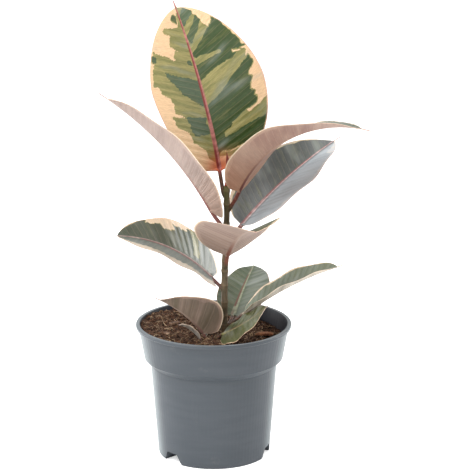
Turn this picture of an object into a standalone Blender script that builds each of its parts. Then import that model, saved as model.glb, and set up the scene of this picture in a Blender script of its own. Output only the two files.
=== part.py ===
"""Potted rubber plant: a young variegated Ficus elastica in a 12 cm plastic nursery pot.

Metres, +Z up. The origin is the centre of the pot's base, on the ground. The front is -Y.
Headings are degrees about +Z: 0 points along +X and 90 along +Y. Rises are degrees above level.
"""

import math
from dataclasses import dataclass

import bmesh
import bpy
import numpy as np

# Clearance between two pieces that touch.
GAP = 0.0003

# Pot: a turned wall with a wide collar at the top and three drainage notches at the foot.
POT_HEIGHT = 0.104
LIP_RADIUS = 0.060
LIP_BEAD = 0.0016
LIP_HEIGHT = 0.0026
COLLAR_HEIGHT = 0.0265
COLLAR_FOOT_RADIUS = 0.0536
BODY_TOP_RADIUS = 0.0488
FOOT_RADIUS = 0.0432
FOOT_ROUND = 0.0010
POT_WALL = 0.0012
POT_FLOOR = 0.0014
POT_SIDES = 96

# A notch opens into a channel that runs towards the middle under the floor.
NOTCH_COUNT = 3
NOTCH_HEADING = 102.0
NOTCH_HEIGHT = 0.008
NOTCH_FOOT_WIDTH = 0.0195
NOTCH_TOP_WIDTH = 0.0105
CHANNEL_LENGTH = 0.021

# Soil: tilted, higher on the left and at the back, with a low mound round the stem and a raised edge.
SOIL_BELOW_LIP = 0.009
SOIL_TILT_X = -0.105
SOIL_TILT_Y = 0.03
SOIL_MOUND = 0.0012
SOIL_MOUND_RADIUS = 0.012
SOIL_EDGE_RISE = 0.0014
SOIL_RINGS = 7

# Stem: its height is measured up from the soil, and it stands in a hole in the soil.
STEM_HEIGHT = 0.117
STEM_DEPTH = 0.022
STEM_FOOT_RADIUS = 0.0026
STEM_TOP_RADIUS = 0.0022
STEM_SIDES = 12
NODE_SWELLING = 0.0005
NODE_LENGTH = 0.0022

# Centre line of the stem: (share of the height, X, Y).
STEM_LINE = (
    (-0.2, 0.0080, 0.0),
    (0.0, 0.0080, 0.0),
    (0.32, 0.0083, 0.0),
    (0.50, 0.0089, 0.0),
    (0.80, 0.0102, 0.0),
    (1.0, 0.0102, 0.0),
)

# Terminal bud: the sheath that wraps the next leaf.
BUD_LENGTH = 0.026
BUD_RADIUS = 0.0016
BUD_NECK_RADIUS = 0.0009

# Leaves.
LEAF_THICKNESS = 0.0008
MIDRIB_HALF_WIDTH = 0.06
LEAF_ROWS = 16
PETIOLE_ROWS = 5
DRIP_TIP = 0.06
DRIP_TIP_WIDTH = 0.03
DRIP_TIP_TAPER = 0.1
BASE_ROUNDNESS = 2.2
TIP_HALF_WIDTH = 0.0004


@dataclass
class Leaf:
    """One leaf: its petiole leaves the stem at a node, or the soil at foot, and carries the blade."""

    name: str
    length: float
    width: float
    petiole: float
    petiole_radius: float
    out: float  # heading of the petiole where it leaves the stem
    petiole_rise: float
    heading: float  # of the blade's base
    rise: tuple  # of the blade at its base and at its tip
    roll: tuple  # of the blade at its base and at its tip; positive lifts the right-hand half
    fold: float  # angle that each half stands up from the midrib
    node: float = 0.0  # share of the stem's height
    foot: tuple = ()  # (X, Y) where the petiole comes out of the soil
    turn: float = 0.0  # change of heading from base to tip
    cup: float = 0.0  # how much more a half stands up at its edge
    widest: float = 0.48  # share of the length
    point: float = 1.8  # shape of the tip half: 2 is an ellipse, lower is more pointed
    skew: float = 0.0  # how much nearer the tip the left half is widest, as a share of the length
    lobe: float = 0.0  # how far the base sweeps back past the petiole, as a share of the length
    right: float = 1.0  # widths of the two halves against the mean
    left: float = 1.0


LEAVES = (
    Leaf("top_leaf", 0.136, 0.090, 0.014, 0.0015, out=135, petiole_rise=78, heading=158, turn=-17,
         rise=(80, 64), roll=(41, 41), fold=18, cup=-5, node=0.97, widest=0.45, point=1.6,
         right=1.08, left=0.94, skew=0.06),
    Leaf("upper_right_leaf", 0.129, 0.080, 0.0115, 0.0015, out=-20, petiole_rise=58, heading=-25,
         rise=(66, -10), roll=(12, 6), fold=13, node=0.88, widest=0.50, point=1.25, right=0.95,
         left=0.82),
    Leaf("upper_left_leaf", 0.126, 0.070, 0.0131, 0.0015, out=190, petiole_rise=50, heading=187,
         rise=(62, 34), roll=(-8, -8), fold=18, node=0.745, widest=0.38, lobe=0.08),
    Leaf("back_right_leaf", 0.108, 0.074, 0.0125, 0.0017, out=30, petiole_rise=40, heading=30,
         rise=(43, 24), roll=(-5, -5), fold=18, node=0.65, point=1.4, right=1.22),
    Leaf("mid_front_leaf", 0.100, 0.070, 0.008, 0.0016, out=-78, petiole_rise=70, heading=-77,
         rise=(41, 8), roll=(0, 0), fold=20, node=0.50, point=2.0, right=0.98, left=0.90),
    Leaf("mid_left_leaf", 0.089, 0.060, 0.009, 0.0014, out=190, petiole_rise=45, heading=194,
         rise=(49, 3), roll=(23, 20), fold=17, node=0.335, widest=0.39, point=1.5, lobe=0.08,
         left=1.18),
    Leaf("low_right_leaf", 0.087, 0.045, 0.014, 0.0014, out=-10, petiole_rise=40, heading=-5,
         rise=(38, 18), roll=(0, 0), fold=22, node=0.066, left=0.88, right=0.9),
    Leaf("low_back_leaf", 0.062, 0.042, 0.010, 0.0012, out=48, petiole_rise=40, heading=71,
         rise=(34, 18), roll=(0, 0), fold=12, node=0.045, widest=0.38, point=1.7, lobe=0.05,
         right=1.12, left=0.88),
    Leaf("low_front_right_leaf", 0.047, 0.040, 0.005, 0.0011, out=-26, petiole_rise=45, heading=-26,
         rise=(28, 44), roll=(-20, -20), fold=3, foot=(0.0032, -0.0125), widest=0.52, right=1.3,
         left=0.72),
    Leaf("low_front_left_leaf", 0.0475, 0.040, 0.003, 0.0012, out=185, petiole_rise=75, heading=185,
         rise=(54, 23), roll=(-40, -28), fold=63, foot=(-0.0068, -0.0115), widest=0.22, point=1.1,
         lobe=0.18, right=0.7, left=1.28),
    Leaf("low_left_small_leaf", 0.020, 0.016, 0.002, 0.0008, out=172, petiole_rise=60, heading=172,
         rise=(58, 8), roll=(-20, -30), fold=15, foot=(-0.0095, -0.0225), widest=0.40),
)


@dataclass
class Chip:
    """A flake of bark lying on the soil."""

    x: float
    y: float
    length: float
    width: float
    thickness: float
    heading: float


CHIPS = (
    Chip(0.0390, 0.0050, 0.0130, 0.0060, 0.0018, -28),
    Chip(-0.0300, 0.0120, 0.0090, 0.0050, 0.0016, 35),
    Chip(-0.0140, 0.0300, 0.0100, 0.0045, 0.0016, 10),
    Chip(0.0260, 0.0340, 0.0080, 0.0050, 0.0015, 70),
    Chip(0.0190, -0.0330, 0.0085, 0.0040, 0.0015, 20),
    Chip(-0.0360, -0.0140, 0.0075, 0.0045, 0.0014, -50),
)

SOIL_LEVEL = POT_HEIGHT - SOIL_BELOW_LIP
BODY_HEIGHT = POT_HEIGHT - COLLAR_HEIGHT - (COLLAR_FOOT_RADIUS - BODY_TOP_RADIUS)


# ---------------------------------------------------------------- shared tools


def clear_scene():
    for obj in list(bpy.data.objects):
        bpy.data.objects.remove(obj)


def add_object(name, bm, material=None, sharp=40.0):
    """Turns a bmesh into an object in the scene, shaded smooth except at edges over sharp degrees."""
    bmesh.ops.recalc_face_normals(bm, faces=bm.faces)
    mesh = bpy.data.meshes.new(name)
    bm.to_mesh(mesh)
    bm.free()
    mesh.shade_smooth()
    mesh.set_sharp_from_angle(angle=math.radians(sharp))
    if material:
        mesh.materials.append(material)
    obj = bpy.data.objects.new(name, mesh)
    bpy.context.scene.collection.objects.link(obj)
    return obj


def plain_material(name, colour, roughness):
    material = bpy.data.materials.new(name)
    material.use_nodes = True
    shader = material.node_tree.nodes["Principled BSDF"]
    shader.inputs["Base Color"].default_value = (*colour, 1.0)
    shader.inputs["Roughness"].default_value = roughness
    return material


def boolean(target, cutter, operation="DIFFERENCE"):
    """Applies an exact Boolean, and removes the cutter."""
    modifier = target.modifiers.new(operation.title(), "BOOLEAN")
    modifier.operation = operation
    modifier.solver = "EXACT"
    modifier.object = cutter
    bpy.context.view_layer.update()
    graph = bpy.context.evaluated_depsgraph_get()
    mesh = bpy.data.meshes.new_from_object(target.evaluated_get(graph))
    target.modifiers.clear()
    target.data = mesh
    bpy.data.objects.remove(cutter)


def turned(profile, sides):
    """A solid of revolution about Z. The profile is (radius, z), and both its ends are on the axis."""
    bm = bmesh.new()
    rings = []
    for radius, z in profile:
        if radius == 0.0:
            rings.append([bm.verts.new((0.0, 0.0, z))])
            continue
        angles = [2.0 * math.pi * side / sides for side in range(sides)]
        rings.append([bm.verts.new((radius * math.cos(a), radius * math.sin(a), z)) for a in angles])
    bridge_rings(bm, rings, sides)
    return bm


def bridge_rings(bm, rings, sides):
    """Faces between each ring and the next. A ring of one point closes the end with a fan."""
    for low, high in zip(rings, rings[1:]):
        for side in range(sides):
            after = (side + 1) % sides
            if len(low) == 1:
                bm.faces.new((low[0], high[after], high[side]))
            elif len(high) == 1:
                bm.faces.new((low[side], low[after], high[0]))
            else:
                bm.faces.new((low[side], low[after], high[after], high[side]))


def loft(rings):
    """A closed body through rings of the same number of points, with flat ends."""
    bm = bmesh.new()
    loops = [[bm.verts.new(point) for point in ring] for ring in rings]
    bridge_rings(bm, loops, len(loops[0]))
    bm.faces.new(loops[0][::-1])
    bm.faces.new(loops[-1])
    return bm


def smoothstep(value):
    value = min(max(value, 0.0), 1.0)
    return value * value * (3.0 - 2.0 * value)


# ---------------------------------------------------------------- pot and soil


def outer_radius(z):
    """Radius of the pot's outside below the lip."""
    heights = (0.0, BODY_HEIGHT, POT_HEIGHT - COLLAR_HEIGHT, POT_HEIGHT)
    radii = (FOOT_RADIUS, BODY_TOP_RADIUS, COLLAR_FOOT_RADIUS, LIP_RADIUS - LIP_BEAD)
    return float(np.interp(z, heights, radii))


def inset_lift(inset):
    """How much higher the corners at the collar's foot are on the outside line moved in by inset."""
    return inset * math.tan(math.radians(22.5))


def wall_radius(inset, z):
    """Radius at the height z of the pot's outside line moved in by inset."""
    return outer_radius(max(z - inset_lift(inset), 0.0)) - inset


def wall_profile(inset, bottom, top):
    """The pot's outside line moved in by inset, from bottom up to top."""
    lift = inset_lift(inset)
    corners = (BODY_HEIGHT + lift, POT_HEIGHT - COLLAR_HEIGHT + lift)
    heights = [bottom, *(z for z in corners if bottom < z < top), top]
    return [(wall_radius(inset, z), z) for z in heights]


def pot_outside():
    """The pot's outer skin as a solid: rounded foot, tapered body, collar, and a rounded lip."""
    under_lip = POT_HEIGHT - LIP_HEIGHT
    foot_arc = []
    for step in range(4):
        angle = math.radians(-90.0 + 30.0 * step)
        radius = FOOT_RADIUS - FOOT_ROUND + FOOT_ROUND * math.cos(angle)
        foot_arc.append((radius, FOOT_ROUND + FOOT_ROUND * math.sin(angle)))
    lip_round = 0.5 * LIP_BEAD
    lip = [(LIP_RADIUS - lip_round, under_lip)]
    for step in range(1, 4):
        angle = math.radians(-90.0 + 30.0 * step)
        radius = LIP_RADIUS - lip_round + lip_round * math.cos(angle)
        lip.append((radius, under_lip + lip_round + lip_round * math.sin(angle)))
    for step in range(4):
        angle = math.radians(30.0 * step)
        radius = LIP_RADIUS - lip_round + lip_round * math.cos(angle)
        lip.append((radius, POT_HEIGHT - lip_round + lip_round * math.sin(angle)))
    wall = wall_profile(0.0, FOOT_ROUND, under_lip)[1:]
    return [(0.0, 0.0), *foot_arc, *wall, *lip, (0.0, POT_HEIGHT)]


def notch_prisms(grow, foot, reach):
    """The channels as prisms, one body for each notch, grown outwards by grow at their sides and top."""
    bm = bmesh.new()
    slant = math.atan2(0.5 * (NOTCH_FOOT_WIDTH - NOTCH_TOP_WIDTH), NOTCH_HEIGHT)
    spread = grow / math.cos(slant)
    top = NOTCH_HEIGHT + grow
    half_top = 0.5 * NOTCH_TOP_WIDTH + spread - grow * math.tan(slant)
    half_foot = 0.5 * NOTCH_FOOT_WIDTH + spread - foot * math.tan(slant)
    section = ((-half_foot, foot), (half_foot, foot), (half_top, top), (-half_top, top))
    start = FOOT_RADIUS - CHANNEL_LENGTH - grow
    for notch in range(NOTCH_COUNT):
        angle = math.radians(NOTCH_HEADING + 360.0 * notch / NOTCH_COUNT)
        along = np.array((math.cos(angle), math.sin(angle), 0.0))
        across = np.array((-math.sin(angle), math.cos(angle), 0.0))
        ends = []
        for distance in (start, reach):
            points = [along * distance + across * side + (0.0, 0.0, z) for side, z in section]
            ends.append([bm.verts.new(point) for point in points])
        bridge_rings(bm, ends, len(section))
        bm.faces.new(ends[0][::-1])
        bm.faces.new(ends[1])
    return bm


def make_pot(material):
    pot = add_object("pot", turned(pot_outside(), POT_SIDES))
    reach = 1.5 * LIP_RADIUS
    boolean(pot, add_object("channels", notch_prisms(0.0, -POT_FLOOR, reach)))
    over_lip = POT_HEIGHT + POT_FLOOR
    inside = [(0.0, POT_FLOOR), *wall_profile(POT_WALL, POT_FLOOR, over_lip), (0.0, over_lip)]
    cavity = add_object("cavity", turned(inside, POT_SIDES))
    boolean(cavity, add_object("housings", notch_prisms(POT_WALL, -POT_FLOOR, reach)))
    boolean(pot, cavity)
    pot.data.materials.clear()
    pot.data.materials.append(material)
    pot.data.shade_smooth()
    pot.data.set_sharp_from_angle(angle=math.radians(35.0))
    return pot


def soil_height(x, y):
    """Height of the soil's surface: tilted, with a low mound round the stem and a raised edge."""
    stem_x, stem_y = STEM_LINE[1][1:]
    away = math.hypot(x - stem_x, y - stem_y)
    mound = SOIL_MOUND * math.exp(-((away / SOIL_MOUND_RADIUS) ** 2))
    edge = SOIL_EDGE_RISE * (math.hypot(x, y) / LIP_RADIUS) ** 2
    return SOIL_LEVEL + SOIL_TILT_X * x + SOIL_TILT_Y * y + mound + edge


def make_soil(material):
    """Soil fills the pot with a clearance to its wall, floor, channel housings and the stem."""
    inset = POT_WALL + GAP
    side = wall_profile(inset, POT_FLOOR + GAP, SOIL_LEVEL)
    edge = side[-1][0]
    top = [(edge * ring / SOIL_RINGS, SOIL_LEVEL) for ring in range(SOIL_RINGS - 1, -1, -1)]
    bm = turned([(0.0, POT_FLOOR + GAP), *side, *top], POT_SIDES)
    bm.verts.ensure_lookup_table()
    for vert in bm.verts:
        if vert.co.z == bm.verts[-1].co.z:
            height = soil_height(vert.co.x, vert.co.y)
            radius = math.hypot(vert.co.x, vert.co.y)
            if radius > 0.99 * edge:
                scale = wall_radius(inset, height) / radius
                vert.co.x *= scale
                vert.co.y *= scale
            vert.co.z = height
    soil = add_object("soil", bm)
    reach = 1.5 * LIP_RADIUS
    boolean(soil, add_object("housings", notch_prisms(inset, -POT_FLOOR, reach)))
    boolean(soil, add_object("stem_hole", stem_tube(GAP, SOIL_LEVEL + 0.2 * STEM_HEIGHT)))
    soil.data.materials.clear()
    soil.data.materials.append(material)
    soil.data.shade_smooth()
    soil.data.set_sharp_from_angle(angle=math.radians(35.0))
    return soil


# ---------------------------------------------------------------- stem and bud


def stem_point(share):
    shares, xs, ys = zip(*STEM_LINE)
    z = SOIL_LEVEL + share * STEM_HEIGHT
    return np.array((np.interp(share, shares, xs), np.interp(share, shares, ys), z))


def stem_radius(share):
    """Tapered, with a swelling at each node."""
    taper = STEM_FOOT_RADIUS + (STEM_TOP_RADIUS - STEM_FOOT_RADIUS) * min(max(share, 0.0), 1.0)
    swelling = 0.0
    for leaf in LEAVES:
        if leaf.node:
            away = (share - leaf.node) * STEM_HEIGHT / NODE_LENGTH
            swelling = max(swelling, NODE_SWELLING * math.exp(-(away**2)))
    return taper + swelling


def stem_tube(grow, top):
    """The stem from its foot in the soil up to the height top, with its radius and foot grown by grow."""
    foot_share = -STEM_DEPTH / STEM_HEIGHT
    top_share = (top - SOIL_LEVEL) / STEM_HEIGHT
    count = round((top_share - foot_share) * STEM_HEIGHT / (2.0 * NODE_LENGTH)) + 1
    rings = []
    for share in np.linspace(foot_share, top_share, count):
        centre = stem_point(share)
        if share == foot_share:
            centre[2] -= grow
        radius = stem_radius(share) + grow
        angles = [2.0 * math.pi * side / STEM_SIDES for side in range(STEM_SIDES)]
        rings.append([centre + radius * np.array((math.cos(a), math.sin(a), 0.0)) for a in angles])
    return loft(rings)


def make_stem(material):
    return add_object("stem", stem_tube(0.0, SOIL_LEVEL + STEM_HEIGHT), material, sharp=60.0)


def make_bud(material):
    """A spindle that narrows above its foot, swells, and ends in a fine point."""
    foot = stem_point(1.0) + (0.0, 0.0, GAP)
    foot_radius = 0.8 * STEM_TOP_RADIUS
    shape = (
        (0.0, foot_radius),
        (0.15, BUD_NECK_RADIUS * 1.1),
        (0.3, BUD_NECK_RADIUS),
        (0.45, BUD_RADIUS * 0.85),
        (0.58, BUD_RADIUS),
        (0.72, BUD_RADIUS * 0.85),
        (0.88, BUD_RADIUS * 0.42),
        (1.0, BUD_RADIUS * 0.1),
    )
    rings = []
    for share, radius in shape:
        lean = 0.0010 * math.sin(math.pi * share)
        centre = foot + (lean, 0.0, share * BUD_LENGTH)
        angles = [2.0 * math.pi * side / STEM_SIDES for side in range(STEM_SIDES)]
        rings.append([centre + radius * np.array((math.cos(a), math.sin(a), 0.0)) for a in angles])
    return add_object("terminal_bud", loft(rings), material, sharp=60.0)


# ---------------------------------------------------------------- leaves


def direction(heading, rise):
    heading, rise = math.radians(heading), math.radians(rise)
    level = math.cos(rise)
    return np.array((level * math.cos(heading), level * math.sin(heading), math.sin(rise)))


def blade_frame(leaf, share):
    """(along, right, up) of the blade at a share of its length."""
    heading = leaf.heading + leaf.turn * share
    along = direction(heading, leaf.rise[0] + (leaf.rise[1] - leaf.rise[0]) * share)
    heading = math.radians(heading)
    right = np.array((math.sin(heading), -math.cos(heading), 0.0))
    up = np.cross(right, along)
    roll = math.radians(leaf.roll[0] + (leaf.roll[1] - leaf.roll[0]) * share)
    tilted = right * math.cos(roll) + up * math.sin(roll)
    return along, tilted, up * math.cos(roll) - right * math.sin(roll)


def petiole_foot(leaf):
    """Where the petiole begins: clear of the stem's side, or of the soil."""
    if leaf.foot:
        x, y = leaf.foot
        drop = leaf.petiole_radius * math.cos(math.radians(leaf.petiole_rise))
        slope = 1.5 * leaf.petiole_radius * math.hypot(SOIL_TILT_X, SOIL_TILT_Y)
        return np.array((x, y, soil_height(x, y) + GAP + drop + slope))
    away = stem_radius(leaf.node) + GAP
    away += leaf.petiole_radius * math.sin(math.radians(leaf.petiole_rise))
    return stem_point(leaf.node) + away * direction(leaf.out, 0.0)


def half_width(leaf, share, widest):
    """Outline of the blade: an egg shape that ends in a narrow drip tip."""
    body_end = 1.0 - DRIP_TIP
    outline = 0.0
    if share < widest:
        outline = (1.0 - ((widest - share) / widest) ** BASE_ROUNDNESS) ** 0.5
    elif share < body_end:
        beyond = (share - widest) / (body_end - widest)
        outline = (1.0 - beyond**leaf.point) ** (1.0 / leaf.point)
    tip = DRIP_TIP_WIDTH * min(1.0, (1.0 - share) / DRIP_TIP_TAPER)
    return max(0.5 * leaf.width * max(outline, tip), TIP_HALF_WIDTH)


def midrib_points(leaf):
    """The petiole's points and directions, then the blade's midrib as (shares, points)."""
    leaving = direction(leaf.out, leaf.petiole_rise)
    arriving = blade_frame(leaf, 0.0)[0]
    point = petiole_foot(leaf)
    petiole = []
    for row in range(PETIOLE_ROWS):
        along = leaving + (arriving - leaving) * row / PETIOLE_ROWS
        along /= np.linalg.norm(along)
        petiole.append((point, along))
        point = point + along * leaf.petiole / PETIOLE_ROWS
    steps = 4 * LEAF_ROWS
    midrib = [point]
    for step in range(steps):
        midrib.append(midrib[-1] + blade_frame(leaf, (step + 0.5) / steps)[0] * leaf.length / steps)
    return petiole, np.linspace(0.0, 1.0, steps + 1), np.array(midrib)


COLUMNS = (-1.0, -0.72, -0.38, -MIDRIB_HALF_WIDTH, 0.0, MIDRIB_HALF_WIDTH, 0.38, 0.72, 1.0)
RING = [(column, 1.0) for column in COLUMNS] + [(column, -1.0) for column in COLUMNS[-2:0:-1]]


def petiole_ring(leaf, point, along, right):
    """Points of the round petiole, in the same order as a blade ring."""
    right = right - along * np.dot(right, along)
    right /= np.linalg.norm(right)
    up = np.cross(right, along)
    ring = []
    for index in range(len(RING)):
        angle = math.pi - 2.0 * math.pi * index / len(RING)
        offset = math.cos(angle) * right + math.sin(angle) * up
        ring.append(point + leaf.petiole_radius * offset)
    return ring


def blade_ring(leaf, share, shares, midrib):
    """Points round the blade at a share of its length: upper side left to right, then back below."""
    left_width = leaf.left * half_width(leaf, share, leaf.widest + leaf.skew)
    right_width = leaf.right * half_width(leaf, share, leaf.widest)
    rib = 0.8 * leaf.petiole_radius * (1.0 - share)
    ring = []
    for column, side in RING:
        reach = abs(column) * (right_width if column > 0.0 else left_width)
        swept = share - leaf.lobe * column**2 * max(0.0, 1.0 - share / 0.35) ** 2
        on_rib = min(max(swept, 0.0), 1.0)
        along, right, up = blade_frame(leaf, on_rib)
        point = np.array([np.interp(on_rib, shares, midrib[:, axis]) for axis in range(3)])
        point = point + along * min(swept, 0.0) * leaf.length
        outward = right if column > 0.0 else -right
        bend = math.radians(leaf.cup) * reach / leaf.width
        angle = math.radians(leaf.fold) + bend
        point = point + reach * (outward * math.cos(angle) + up * math.sin(angle))
        if column == 0.0:
            normal = up
        else:
            edge_angle = angle + bend
            normal = up * math.cos(edge_angle) - outward * math.sin(edge_angle)
        thickness = 0.5 * LEAF_THICKNESS * math.sqrt(1.0 - column**4)
        if side < 0.0 and column == 0.0:
            thickness += rib
        ring.append(point + side * thickness * normal)
    return ring


def make_leaf(leaf, material):
    petiole, shares, midrib = midrib_points(leaf)
    right = blade_frame(leaf, 0.0)[1]
    rings = [petiole_ring(leaf, point, along, right) for point, along in petiole]
    for row in range(LEAF_ROWS + 1):
        share = 0.5 * (1.0 - math.cos(math.pi * row / LEAF_ROWS))
        blade = blade_ring(leaf, share, shares, midrib)
        blend = smoothstep((share + 0.004) / 0.03)
        if blend < 1.0:
            on_rib = np.array([np.interp(share, shares, midrib[:, axis]) for axis in range(3)])
            round_ring = petiole_ring(leaf, on_rib, blade_frame(leaf, share)[0], right)
            blade = [near + (far - near) * blend for near, far in zip(round_ring, blade)]
        rings.append(blade)
    return add_object(leaf.name, loft(rings), material, sharp=60.0)


# ---------------------------------------------------------------- bark chips


def make_chip(number, chip, material):
    """A flat flake with an uneven outline, resting just clear of the soil's highest point under it."""
    outline = ((-0.5, -0.2), (-0.2, -0.5), (0.3, -0.4), (0.5, 0.0), (0.25, 0.45), (-0.3, 0.4))
    turn = math.radians(chip.heading)
    corners = []
    for u, v in outline:
        along, across = u * chip.length, v * chip.width
        x = chip.x + along * math.cos(turn) - across * math.sin(turn)
        y = chip.y + along * math.sin(turn) + across * math.cos(turn)
        corners.append((x, y))
    floor = max(soil_height(x, y) for x, y in corners) + GAP
    low = [(x, y, floor) for x, y in corners]
    high = []
    for x, y in corners:
        inner_x = chip.x + 0.85 * (x - chip.x)
        inner_y = chip.y + 0.85 * (y - chip.y)
        high.append((inner_x, inner_y, floor + chip.thickness))
    return add_object(f"bark_chip_{number}", loft([low, high]), material, sharp=30.0)


def main():
    clear_scene()
    pot = plain_material("pot_plastic", (0.13, 0.15, 0.17), 0.42)
    soil = plain_material("soil", (0.10, 0.05, 0.03), 0.95)
    stem = plain_material("stem_bark", (0.16, 0.12, 0.06), 0.6)
    bud = plain_material("bud_sheath", (0.25, 0.04, 0.04), 0.45)
    blade = plain_material("leaf", (0.20, 0.26, 0.14), 0.35)
    bark = plain_material("bark", (0.30, 0.13, 0.06), 0.9)
    make_pot(pot)
    make_soil(soil)
    make_stem(stem)
    make_bud(bud)
    for leaf in LEAVES:
        make_leaf(leaf, blade)
    for number, chip in enumerate(CHIPS, start=1):
        make_chip(number, chip, bark)


main()
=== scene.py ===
"""Looks of the potted rubber plant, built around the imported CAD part.

Metres, +Z up, in the CAD part's own frame: the origin is the centre of the pot's base, and the front is -Y.
Headings are degrees about +Z, and rises are degrees above level.
"""

import math
from dataclasses import dataclass, field

import bpy
import numpy as np
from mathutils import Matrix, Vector, noise


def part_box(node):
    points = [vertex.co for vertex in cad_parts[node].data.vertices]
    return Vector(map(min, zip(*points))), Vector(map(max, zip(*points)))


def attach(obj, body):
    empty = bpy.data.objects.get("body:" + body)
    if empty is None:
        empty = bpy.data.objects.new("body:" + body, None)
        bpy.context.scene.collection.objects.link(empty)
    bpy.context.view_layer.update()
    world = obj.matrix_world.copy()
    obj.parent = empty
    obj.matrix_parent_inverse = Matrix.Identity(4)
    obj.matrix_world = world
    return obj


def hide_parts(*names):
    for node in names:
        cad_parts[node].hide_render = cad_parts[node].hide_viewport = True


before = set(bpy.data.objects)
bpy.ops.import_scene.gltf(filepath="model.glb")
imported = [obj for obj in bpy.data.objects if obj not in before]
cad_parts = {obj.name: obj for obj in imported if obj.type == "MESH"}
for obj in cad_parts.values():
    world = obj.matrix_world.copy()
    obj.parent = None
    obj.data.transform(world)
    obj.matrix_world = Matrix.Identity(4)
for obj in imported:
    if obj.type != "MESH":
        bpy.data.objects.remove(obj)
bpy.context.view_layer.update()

# ---------------------------------------------------------------- sizes shared with the CAD part

POT_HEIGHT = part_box("pot")[1].z
LIP_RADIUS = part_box("pot")[1].x
COLLAR_HEIGHT = 0.0265
COLLAR_FOOT_RADIUS = 0.0536
BODY_TOP_RADIUS = 0.0488
FOOT_RADIUS = 0.0432
LIP_BEAD = 0.0016
POT_WALL = 0.0012
GAP = 0.0003
COLLAR_FOOT = POT_HEIGHT - COLLAR_HEIGHT
BODY_HEIGHT = COLLAR_FOOT - (COLLAR_FOOT_RADIUS - BODY_TOP_RADIUS)

SOIL_LEVEL = POT_HEIGHT - 0.009
SOIL_TILT_X = -0.105
SOIL_TILT_Y = 0.03
SOIL_MOUND = 0.0012
SOIL_MOUND_RADIUS = 0.012
SOIL_EDGE_RISE = 0.0014
SOIL_RADIUS = 0.055  # about where the soil meets the pot's wall
SOIL_FOOT = 0.010

STEM_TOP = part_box("stem")[1].z
STEM_HEIGHT = STEM_TOP - SOIL_LEVEL
STEM_DEPTH = 0.022
STEM_FOOT_RADIUS = 0.0026
STEM_TOP_RADIUS = 0.0022
NODE_SWELLING = 0.0006
NODE_LENGTH = 0.0018
RING_LENGTH = 0.0005
CAD_NODE_SWELLING = 0.0005
CAD_NODE_LENGTH = 0.0022
STEM_SIDES = 40
STEM_RINGS = 260
STEM_LINE = (
    (-0.2, 0.0080, 0.0),
    (0.0, 0.0080, 0.0),
    (0.32, 0.0083, 0.0),
    (0.50, 0.0089, 0.0),
    (0.80, 0.0102, 0.0),
    (1.0, 0.0102, 0.0),
)

# Leaf meshes: rows along the blade, and columns across its upper side.
BLADE_ROWS = 170
PETIOLE_ROWS = 12
JOINT_ROWS = 8
COLUMNS = 73
LEAF_THICKNESS = 0.0006
DRIP_TIP = 0.06
DRIP_TIP_WIDTH = 0.03
TIP_HALF_WIDTH = 0.00025
DRIP_TIP_TAPER = 1.6 * DRIP_TIP
BASE_ROUNDNESS = 2.2
VEIN_SPACING = 0.0052
VEIN_LEAN = 0.45
QUILTING = 0.00013  # height of the ridges between the veins
CREASE = 0.0022  # how far from the midrib the blade bends up
RIB_WIDTH = 0.0016
RIB_HEIGHT = 0.00022  # of the midrib above the blade's upper side
JOINT_DROP = 0.0055  # how far below its node a petiole begins inside the stem

# Tones of the variegation: no green at all, some, and full.
CREAM, SAGE, GREEN = 0.12, 0.38, 0.70


@dataclass
class Patch:
    """A patch on one half of a blade, bounded by two lines that run from the midrib to the margin.

    Distances along the blade are shares of its length, taken where the vein through a point leaves the
    midrib. Distances from the midrib are shares of the half width.
    """

    side: int  # 1 for the right half, -1 for the left
    inner: float
    outer: float
    low: tuple  # line nearer the base, at its inner and at its outer end
    high: tuple  # line nearer the tip
    tone: float
    depth: float = 0.0  # how deep a full green is: 0 for the pale one, 1 for the deep one


@dataclass
class Look:
    """Colours of a leaf, and how its green is laid out."""

    margin: float = 0.86  # share of the half width where the cream margin begins
    body: float = GREEN  # tone inside the margin
    depth: float = 0.5  # of the body's green, from the pale one at 0 to the deep one at 1
    spread: float = 0.30  # how much the tone varies from one vein to the next
    patches: tuple = ()
    painted_reflection: tuple = (0, 0.0)  # the half that has a painted reflection, a pale tint for the bright surroundings it mirrors, and its strength
    painted_reflection_colour: tuple = (0.31, 0.33, 0.32)
    under: tuple = (0.30, 0.205, 0.165)
    under_pale: tuple = (0.43, 0.31, 0.245)
    under_band: float = 1.0  # how much the underside varies from one vein to the next
    cream: tuple = (0.66, 0.52, 0.37)
    sage: tuple = (0.20, 0.205, 0.11)
    pale: tuple = (0.085, 0.11, 0.07)
    deep: tuple = (0.045, 0.065, 0.03)
    rib: tuple = (0.42, 0.20, 0.17)
    petiole: tuple = (0.20, 0.045, 0.035)
    base_flush: float = 0.0


@dataclass
class Leaf:
    """One leaf: its petiole leaves the stem at a node, or the soil at foot, and carries the blade."""

    name: str
    length: float
    width: float
    petiole: float
    petiole_radius: float
    out: float  # heading of the petiole where it leaves the stem
    petiole_rise: float
    heading: float  # of the blade's base
    rise: tuple  # of the blade at its base and at its tip
    roll: tuple  # of the blade at its base and at its tip; positive lifts the right-hand half
    fold: float  # angle that each half stands up from the midrib
    node: float = 0.0  # share of the stem's height
    foot: tuple = ()  # (X, Y) where the petiole comes out of the soil
    turn: float = 0.0
    cup: float = 0.0
    widest: float = 0.48
    point: float = 1.8
    skew: float = 0.0  # how much nearer the tip the left half is widest, as a share of the length
    lobe: float = 0.0
    right: float = 1.0
    left: float = 1.0
    wave: float = 0.0007  # height of the waves along its margin
    waves: float = 3.0
    look: Look = field(default_factory=Look)


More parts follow.
